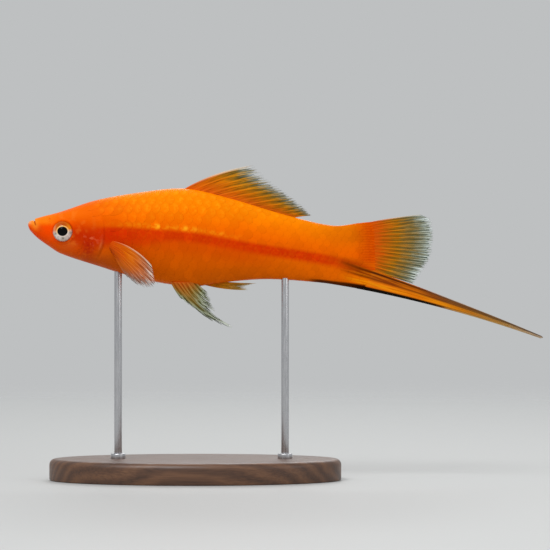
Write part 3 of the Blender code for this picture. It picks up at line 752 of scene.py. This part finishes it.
def eyeball(name, side):
    ball = bmesh.new()
    bmesh.ops.create_uvsphere(ball, u_segments=64, v_segments=40, radius=1)
    mesh = mesh_of(name, ball)
    points = np.empty(len(mesh.vertices) * 3)
    mesh.vertices.foreach_get("co", points)
    points = points.reshape(-1, 3)[:, [0, 2, 1]] * (EYE_RADIUS, EYE_HALF_THICK, EYE_RADIUS)
    front = points[:, 1] * side > 0
    off_axis = np.hypot(points[:, 0], points[:, 2])
    points[:, 1] += side * np.where(front, DOME_HEIGHT * bell(off_axis, 0, DOME_WIDTH), 0)
    skin_y = float(flank(EYE_AT[0], EYE_AT[1]))
    points += (EYE_AT[0], side * (skin_y - EYE_SUNK), EYE_AT[1])
    return add_piece(name, mesh, points, eye, merge=0.0005)


for side, where in SIDES:
    ball = eyeball("eyeball_" + where, side)
    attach(ball, "root")
    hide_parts("eye_" + where)


# The dorsal fin
# A thin membrane over bony rays that stand out on both faces. Each ray splits in two and then
# in four towards the edge, where the tips reach past the web between them.

RAY_COLUMNS = 14  # faces from one ray to the next
FIRST_SPLIT, SECOND_SPLIT = 0.42, 0.72  # shares of a ray's length
FIRST_SPREAD, SECOND_SPREAD = 0.25, 0.115  # how far the branches part, in spaces between rays
RAY_WIDTH, RAY_THINNING = 0.115, 0.06
EDGE = 0.14  # how far the first and last rays are inside the fin, in spaces between rays
SIDE_ROUND, TIP_ROUND = 0.16, 0.03  # how much of a fin its rounded edges take up
TIP_TAPER = 0.55  # how much thinner it is at its edge than at its root
ROOT_PART = 0.3  # how much of its length the thick root takes up
ROOT_DEPTH = 0.7  # how far inside the flesh a root starts


def curve_through(points):
    """A smooth curve through the points, as a function of the share of the way along it."""
    points = np.array(points, float)
    slopes = np.gradient(points, axis=0)

    def at(share):
        t = np.clip(share, 0, 1) * (len(points) - 1)
        i = np.minimum(t.astype(int), len(points) - 2)
        t = (t - i)[:, None]
        rise = points[i + 1] - points[i]
        bends = (1 - t) * (slopes[i] - rise) + t * (rise - slopes[i + 1])
        return points[i] + t * rise + t * (1 - t) * bends

    return at


def ray_ridges(u, v, rays, first_split, second_split):
    """1 on the middle of a ray and 0 on the web, for the share u across the fin and v out along it."""
    place = np.clip(u * (rays - 1 + 2 * EDGE) - EDGE, -EDGE, rays - 1 + EDGE)
    off = np.abs(place - np.round(place))
    off = np.abs(off - FIRST_SPREAD * ease(v, first_split, 1.15))
    off = np.abs(off - SECOND_SPREAD * ease(v, second_split, 1.2))
    return bell(off, 0, RAY_WIDTH - RAY_THINNING * v)


def fin(name, finish, rays, rows, roots, tips, bows, thick, fray, splits=(FIRST_SPLIT, SECOND_SPLIT)):
    """thick is the fin's thickness at its root, on the web and on a ray, and fray the shares of the
    rays' lengths that stand out past the web, from the first ray to the last."""
    root_at, tip_at, bow_at = curve_through(roots), curve_through(tips), curve_through(bows)
    root_thick, web_thick, ray_thick = thick
    mesh, (around, v) = sheet(name, 2 * (rays - 1) * RAY_COLUMNS, rows)
    u = 1 - np.abs(2 * around - 1)
    face = np.where(around < 0.5, -1, 1)
    uneven = 0.5 + 0.5 * np.sin(np.round(u * (rays - 1) * 4) * 2.4 + 1.3 * rays)
    cut = np.interp(u, np.linspace(0, 1, len(fray)), fray)
    reach = 1 - cut * (1 - ray_ridges(u, np.ones_like(u), rays, *splits)) * (0.55 + 0.45 * uneven)
    out = v * (1 - (1 - reach) * ease(v, 0.3, 1))

    def surface(u, out):
        out = out[:, None]
        return root_at(u) * (1 - out) + tip_at(u) * out + bow_at(u) * 4 * out * (1 - out)

    nudge = 0.004
    across = surface(np.minimum(u + nudge, 1), out) - surface(np.maximum(u - nudge, 0), out)
    along = surface(u, out + nudge) - surface(u, out - nudge)
    normal = np.cross(across, along)
    normal /= np.maximum(np.linalg.norm(normal, axis=1, keepdims=True), 1e-12)
    ridge = ray_ridges(u, out, rays, *splits)
    half = (web_thick + (ray_thick - web_thick) * ridge) * (1 - TIP_TAPER * out)
    fullness = np.sqrt(4 * u * (1 - u))
    half += np.maximum(root_thick * fullness - half, 0) * np.clip(1 - out / ROOT_PART, 0, 1) ** 2
    edge = np.minimum(u, 1 - u) * (rays - 1)
    half = half / 2 * np.sqrt(np.clip(edge / SIDE_ROUND, 0, 1)) * np.sqrt(np.clip((1 - v) / TIP_ROUND, 0, 1))
    points = surface(u, out) + normal * (face * half)[:, None]

    mark = mesh.attributes.new("ray", "FLOAT", "POINT")
    mark.data.foreach_set("value", ridge.astype(np.float32))
    uv, write_uv = chart(mesh, "chart")
    write_uv(np.stack([(1 - np.abs(2 * uv[:, 0] - 1)), uv[:, 1]], 1))
    piece = add_piece(name, mesh, points, finish, merge=0.001)
    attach(piece, "root")
    return piece


def fin_finish(name, web, rays, clear, hairs, dark=0.55, margin=0.0, margin_width=0.03, last=1.0):
    """web and rays are the colours from root to edge, clear is how much the web lets through, hairs
    how many fine streaks cross the fin, and dark what light the darkest of them keep. margin is how
    pale its front edge is, over margin_width of the way across, and last what light the last rays
    keep."""
    finish = Finish(name, roughness=0.42, specular_ior_level=0.04)
    x, y, z = finish.place()
    across, out = finish.map("chart")
    ray = finish.mark("ray").ramp(0.25, 0.85)
    fine = finish.noise(finish.vector(x, y, z), 0.9)
    hair = finish.noise(finish.vector(across * hairs, out * 3.5, 0), 1.0, 2)
    strand = finish.noise(finish.vector(across * hairs * 0.4, out * 1.5, 4), 1.0, 1)
    out = out + (fine - 0.5) * 0.14 + (hair - 0.5) * 0.16 + (strand - 0.5) * 0.24
    web_colour, ray_colour = finish.colours(out, web), finish.colours(out, rays)
    web_colour = finish.blend(web_colour, ray_colour, hair.ramp(0.5, 0.66) * 0.8)
    web_colour = finish.shade(web_colour, hair.ramp(0.32, 0.46, dark, 1))
    ray_colour = finish.shade(ray_colour, strand.ramp(0.32, 0.6, 0.78, 1.08))
    front = (1 - across.ramp(margin_width / 6, margin_width)) * out.ramp(0.05, 0.75) * margin
    both = finish.blend(finish.blend(web_colour, ray_colour, ray), colour(226, 206, 184), front)
    both = finish.shade(both, across.ramp(0.12, 0.75, 1, last))
    finish.feed("Base Color", both)
    finish.feed("Alpha", 1 - (1 - ray) * out.ramp(0.35, 0.95) * clear)
    finish.bump(fine, 0.02 * MM)
    return finish, web_colour, ray_colour, (across, out, ray)


dorsal_finish, *_ = fin_finish(
    "dorsal fin",
    web=[
        (0.0, colour(218, 84, 2)),
        (0.25, colour(204, 96, 3)),
        (0.5, colour(172, 104, 6)),
        (0.72, colour(124, 98, 28)),
        (0.86, colour(108, 108, 84)),
        (1.0, colour(132, 138, 136)),
    ],
    rays=[
        (0.0, colour(226, 92, 2)),
        (0.45, colour(230, 124, 4)),
        (0.72, colour(214, 142, 20)),
        (0.86, colour(176, 158, 112)),
        (1.0, colour(196, 200, 200)),
    ],
    clear=0.14,
    hairs=70,
    margin=0.8,
    last=0.82,
)
dorsal_roots = [(x, 0, float(back_line(x)) - ROOT_DEPTH) for x in (35.4, 41.3, 48, 55, 61)]
dorsal_fin = fin(
    "dorsal_fin_web",
    dorsal_finish,
    rays=13,
    rows=54,
    roots=dorsal_roots,
    tips=[(52.6, 0, 13.7), (56.5, 0, 10.2), (60.4, 0, 7.2), (64.0, 0, 4.4), (66.2, 0, 1.95)],
    bows=[(-0.3, 0, 0.95), (-0.2, 0, 0.4), (0, 0, 0.2), (0, 0, 0), (0, 0, 0.2)],
    thick=(1.1, 0.2, 0.36),
    fray=(0.12, 0.2, 0.12, 0.18, 0.12),
    splits=(0.24, 0.6),
)
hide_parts("dorsal_fin")


# The tail fin
# A fan of many rays, orange at its root and clear grey, frayed and silvery at its round edge.

tail_finish, *_ = fin_finish(
    "tail fin",
    web=[
        (0.0, colour(216, 72, 2)),
        (0.28, colour(206, 82, 2)),
        (0.38, colour(174, 90, 5)),
        (0.54, colour(134, 94, 16)),
        (0.74, colour(102, 93, 50)),
        (1.0, colour(80, 96, 87)),
    ],
    rays=[
        (0.0, colour(226, 84, 2)),
        (0.35, colour(218, 100, 4)),
        (0.56, colour(202, 124, 14)),
        (0.74, colour(166, 132, 66)),
        (0.88, colour(168, 172, 150)),
        (1.0, colour(226, 236, 232)),
    ],
    clear=0.16,
    hairs=80,
    margin=0.5,
)
tail_fin = fin(
    "tail_fin_web",
    tail_finish,
    rays=17,
    rows=60,
    roots=[(FIN_ROOT_X, 0, -0.1), (FIN_ROOT_X, 0, -4.7), (FIN_ROOT_X, 0, SWORD_ROOT[0] - 0.1)],
    tips=[
        (91.8, 0, 2.25), (94.0, 0, 1.3), (94.5, 0, -0.7), (94.6, 0, -2.9), (94.5, 0, -5.1),
        (94.0, 0, -7.4), (93.1, 0, -9.5), (91.8, 0, -11.5), (89.9, 0, -13.9),
    ],
    bows=[(0, 0, 0.25), (0, 0, 0), (0, 0, -0.1)],
    thick=(1.0, 0.2, 0.34),
    fray=(0.04, 0.12, 0.05, 0.1, 0.06, 0.12, 0.05),
    splits=(0.22, 0.6),
)
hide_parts("tail_fin")


# The sword
# The lowest rays of the tail fin, drawn out into a long point, with a dark line above, bands of
# brown and bright orange, and a black edge below.

sword_finish, sword_web, sword_rays, (across, out, ray) = fin_finish(
    "sword",
    web=[
        (0.0, colour(222, 100, 6)),
        (0.4, colour(180, 100, 10)),
        (0.6, colour(146, 96, 24)),
        (0.8, colour(146, 116, 66)),
        (1.0, colour(156, 146, 128)),
    ],
    rays=[
        (0.0, colour(236, 110, 6)),
        (0.4, colour(220, 124, 14)),
        (0.6, colour(206, 132, 26)),
        (0.8, colour(204, 164, 96)),
        (1.0, colour(206, 198, 180)),
    ],
    clear=0.0,
    hairs=30,
)
sword_finish.base = sword_finish.blend(sword_web, sword_rays, ray)
fade = 1 - out.ramp(0.4, 0.75) * 0.8
sword_bands(sword_finish, across, fade, 1 - out.ramp(0.42, 0.58) * 0.9)
outer = out.ramp(0.3, 0.55)
sword_finish.coat(98, 68, 40, (1 - across.ramp(0.3, 0.6)) * outer * 0.75)
sword_finish.coat(186, 160, 140, (1 - across.ramp(0.03, 0.12)) * outer * 0.7)
under = across.ramp(0.84, 0.93) * out.ramp(0.45, 0.6)
sword_finish.coat(196, 158, 100, under * 0.7)
sword_finish.feed("Base Color", sword_finish.base)
sword = fin(
    "sword_web",
    sword_finish,
    rays=6,
    rows=150,
    roots=[(FIN_ROOT_X, 0, SWORD_ROOT[0]), (FIN_ROOT_X, 0, -12.2), (FIN_ROOT_X, 0, SWORD_ROOT[1])],
    tips=[(119.6, 0, -26.0), (120.0, 0, -26.4), (119.4, 0, -26.6)],
    bows=[(0, 0, 0.42), (0, 0, 0.65), (0, 0, 0.88)],
    thick=(0.8, 0.42, 0.62),
    fray=(0.0, 0.0),
    splits=(0.5, 2.0),
)
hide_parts("sword")


# The anal fin
# In the male its front rays are folded into a slim rod, which lies back along the belly.

rod_finish, *_ = fin_finish(
    "anal fin",
    web=[
        (0.0, colour(206, 92, 4)),
        (0.4, colour(166, 102, 8)),
        (1.0, colour(120, 94, 30)),
    ],
    rays=[
        (0.0, colour(224, 104, 6)),
        (0.5, colour(226, 142, 16)),
        (1.0, colour(204, 172, 104)),
    ],
    clear=0.0,
    hairs=16,
)
gonopodium = fin(
    "gonopodium_web",
    rod_finish,
    rays=6,
    rows=44,
    roots=[(39.2, 0, -13.6), (41.2, 0, -13.4), (43.2, 0, -13.1)],
    tips=[(51.4, 0, -15.3), (51.2, 0, -14.5), (53.4, 0, -13.75)],
    bows=[(0, 0, -0.55), (0, 0, -0.3), (0, 0, -0.15)],
    thick=(1.1, 0.25, 0.5),
    fray=(0.1, 0.3, 0.1),
    splits=(0.6, 2.0),
)
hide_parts("gonopodium")


# The pelvic fins
# Narrow and pointed, held down and back, with long whitish rays over an orange root.

pelvic_finish, *_ = fin_finish(
    "pelvic fin",
    web=[
        (0.0, colour(190, 78, 8)),
        (0.12, colour(146, 80, 12)),
        (0.3, colour(110, 82, 20)),
        (0.55, colour(82, 82, 42)),
        (1.0, colour(86, 94, 70)),
    ],
    rays=[
        (0.0, colour(208, 104, 26)),
        (0.15, colour(182, 126, 54)),
        (0.34, colour(156, 138, 84)),
        (0.6, colour(170, 176, 146)),
        (1.0, colour(222, 228, 216)),
    ],
    clear=0.07,
    hairs=24,
)


def to_side(points, side):
    return [(x, side * y, z) for x, y, z in points]


for side, where in SIDES:
    pelvic_fin = fin(
        "pelvic_fin_web_" + where,
        pelvic_finish,
        rays=7,
        rows=60,
        roots=to_side([(33.2, 1.5, -13.4), (36.2, 1.6, -13.7), (39.2, 1.3, -13.4)], side),
        tips=to_side([
            (36.1, 2.1, -17.8), (43.3, 2.9, -22.7), (47.9, 3.0, -24.2), (44.5, 2.8, -21.8),
            (43.4, 2.4, -19.5), (42.7, 2.1, -17.7), (41.9, 1.7, -15.9),
        ], side),
        bows=to_side([(-0.1, 0, -0.2), (-0.6, 0, -0.9), (-0.3, 0, -0.5), (0, 0, -0.2)], side),
        thick=(1.4, 0.18, 0.34),
        fray=(0.55, 0.7, 0.12, 0.55, 0.42, 0.45, 0.35),
        splits=(0.5, 2.0),
    )
    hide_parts("pelvic_fin_" + where)


# The pectoral fins
# Rounded paddles on a fleshy root behind each gill cover, held a little out from the flank.

pectoral_finish, *_ = fin_finish(
    "pectoral fin",
    web=[
        (0.0, colour(214, 70, 1)),
        (0.3, colour(214, 86, 1)),
        (0.5, colour(212, 98, 3)),
        (0.7, colour(188, 90, 34)),
        (0.86, colour(158, 84, 48)),
        (1.0, colour(124, 84, 62)),
    ],
    rays=[
        (0.0, colour(220, 74, 1)),
        (0.4, colour(238, 122, 4)),
        (0.6, colour(226, 122, 42)),
        (0.8, colour(216, 136, 92)),
        (1.0, colour(236, 214, 202)),
    ],
    clear=0.04,
    hairs=44,
    dark=0.68,
    margin=0.5,
    margin_width=0.05,
    last=0.6,
)
pectoral_roots = [
    (x, float(flank(x, z)) - ROOT_DEPTH, z) for x, z in ((18.8, -3.75), (19.2, -5.1), (19.6, -6.2))
]
for side, where in SIDES:
    pectoral_fin = fin(
        "pectoral_fin_web_" + where,
        pectoral_finish,
        rays=12,
        rows=54,
        roots=to_side(pectoral_roots, side),
        tips=to_side([
            (29.2, 8.6, -9.6), (29.9, 8.9, -12.2), (30.0, 9.1, -14.3), (28.2, 9.2, -14.9),
            (26.5, 9.2, -14.5), (24.8, 8.9, -13.3), (23.4, 8.5, -12.2),
        ], side),
        bows=to_side([(0.3, 0.6, 1.15), (0.1, 0.5, 0.1), (-0.1, 0.5, -0.1)], side),
        thick=(1.1, 0.2, 0.32),
        fray=(0.02, 0.1, 0.24, 0.3, 0.24, 0.12),
    )
    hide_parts("pectoral_fin_" + where)


# The stand
# A low oval block of oiled walnut with a rounded edge, and two brushed steel rods that hold the
# fish. It isn't in the photo.

walnut = Finish("walnut", roughness=0.45, coat_weight=0.2, coat_roughness=0.3)
x, y, z = walnut.place()
bend = walnut.noise(walnut.vector(x * 0.012, y * 0.06, z * 0.06), 1.0)
rings = ((y * 0.9 + z * 0.7 + bend * 16) * 2.1).sine() * 0.5 + 0.5
pores = walnut.noise(walnut.vector(x * 0.12, y * 3.0, z * 3.0), 1.0)
wood = walnut.colours(
    rings * 0.32 + pores * 0.62,
    [(0.2, colour(66, 41, 26)), (0.5, colour(92, 60, 39)), (0.8, colour(116, 79, 52))],
)
walnut.feed("Base Color", wood)
walnut.feed("Roughness", pores.ramp(0.3, 0.7, 0.38, 0.55))
walnut.bump(pores, 0.06 * MM)

SHARP_ANGLE = math.radians(40)
low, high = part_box("stand_base")
block = bmesh.new()
bmesh.ops.create_cone(block, cap_ends=True, segments=180, radius1=0.5, radius2=0.5, depth=1)
bmesh.ops.scale(block, verts=block.verts, vec=high - low)
bmesh.ops.translate(block, verts=block.verts, vec=(low + high) / 2)
flat_faces = [face for face in block.faces if len(face.verts) > 4]
top_edges = [edge for face in flat_faces if face.normal.z > 0.5 for edge in face.edges]
under_edges = [edge for face in flat_faces if face.normal.z < -0.5 for edge in face.edges]
for edges, width, segments in ((top_edges, 1.4, 8), (under_edges, 0.4, 2)):
    bmesh.ops.bevel(
        block, geom=edges, offset=width * MM, segments=segments, profile=0.5, affect="EDGES", material=-1
    )
mesh = mesh_of("stand_block", block)
mesh.shade_smooth()
mesh.set_sharp_from_angle(angle=SHARP_ANGLE)
stand_block = show("stand_block", mesh, walnut)
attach(stand_block, "root")
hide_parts("stand_base")

steel = Finish("brushed steel", roughness=0.3, metallic=1.0)
x, y, z = steel.place()
brushing = steel.noise(steel.vector(x * 6, y * 6, z * 0.4), 1.0)
steel.feed("Base Color", steel.blend(colour(176, 176, 180), colour(212, 212, 214), brushing))
steel.feed("Roughness", brushing.ramp(0.3, 0.7, 0.24, 0.38))
COLLAR_RADIUS, COLLAR_HEIGHT = 1.7 * MM, 1.2 * MM
ROD_HIDDEN, COLLAR_HIDDEN = 0.5 * MM, 0.2 * MM  # in the wood, and the rod in the fish too

for where in ("front", "rear"):
    low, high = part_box("stand_rod_" + where)
    base_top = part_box("stand_base")[1].z
    middle, radius = (low + high) / 2, (high.x - low.x) / 2
    rod = bmesh.new()
    for wide, bottom, top in (
        (radius, base_top - ROD_HIDDEN, high.z + ROD_HIDDEN),
        (COLLAR_RADIUS, base_top - COLLAR_HIDDEN, base_top + COLLAR_HEIGHT),
    ):
        made = bmesh.ops.create_cone(
            rod, cap_ends=True, segments=64, radius1=wide, radius2=wide, depth=top - bottom
        )["verts"]
        bmesh.ops.translate(rod, verts=made, vec=(middle.x, 0, (top + bottom) / 2))
    rims = [edge for edge in rod.edges if not edge.is_boundary and edge.calc_face_angle(0) > 1]
    bmesh.ops.bevel(
        rod, geom=rims, offset=0.2 * MM, segments=3, profile=0.5, affect="EDGES", material=-1
    )
    mesh = mesh_of("stand_rod_steel_" + where, rod)
    mesh.shade_smooth()
    mesh.set_sharp_from_angle(angle=SHARP_ANGLE)
    steel_rod = show("stand_rod_steel_" + where, mesh, steel)
    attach(steel_rod, "root")
    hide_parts("stand_rod_" + where)


# The floor and the light
# A plain pale floor that fades into a pale room, a large soft light from above and in front, and
# weaker ones from the right and from behind.

FLOOR_RADIUS = 0.9
ROOM = colour(190, 192, 193)
LIGHTS_AIM = Vector((0, 0, 0.055))  # near the middle of the fish

floor_finish = Finish("pale floor", roughness=0.6)
x, y, _ = floor_finish.place()
distance = floor_finish.root(x.squared() + y.squared())
floor_finish.feed("Base Color", colour(188, 189, 188))
floor_finish.feed("Alpha", 1 - distance.ramp(150, 700))
disc = bmesh.new()
bmesh.ops.create_circle(disc, cap_ends=True, segments=96, radius=FLOOR_RADIUS)
floor = show("floor", mesh_of("floor", disc), floor_finish)

room = bpy.data.worlds.new("room")
room.use_nodes = True
room.node_tree.nodes["Background"].inputs["Color"].default_value = (*ROOM, 1)
room.node_tree.nodes["Background"].inputs["Strength"].default_value = 1.0
bpy.context.scene.world = room


def soft_light(name, place, size, power):
    data = bpy.data.lights.new(name, "AREA")
    data.size, data.energy = size, power
    lamp = bpy.data.objects.new(name, data)
    lamp.location = place
    lamp.rotation_euler = (LIGHTS_AIM - Vector(place)).to_track_quat("-Z", "Y").to_euler()
    bpy.context.scene.collection.objects.link(lamp)


soft_light("key light", (-0.3, -0.55, 0.75), 0.45, 5.2)
soft_light("side light", (0.6, -0.4, 0.35), 0.4, 0.7)
soft_light("back light", (0.1, 0.7, 0.6), 0.5, 2.4)
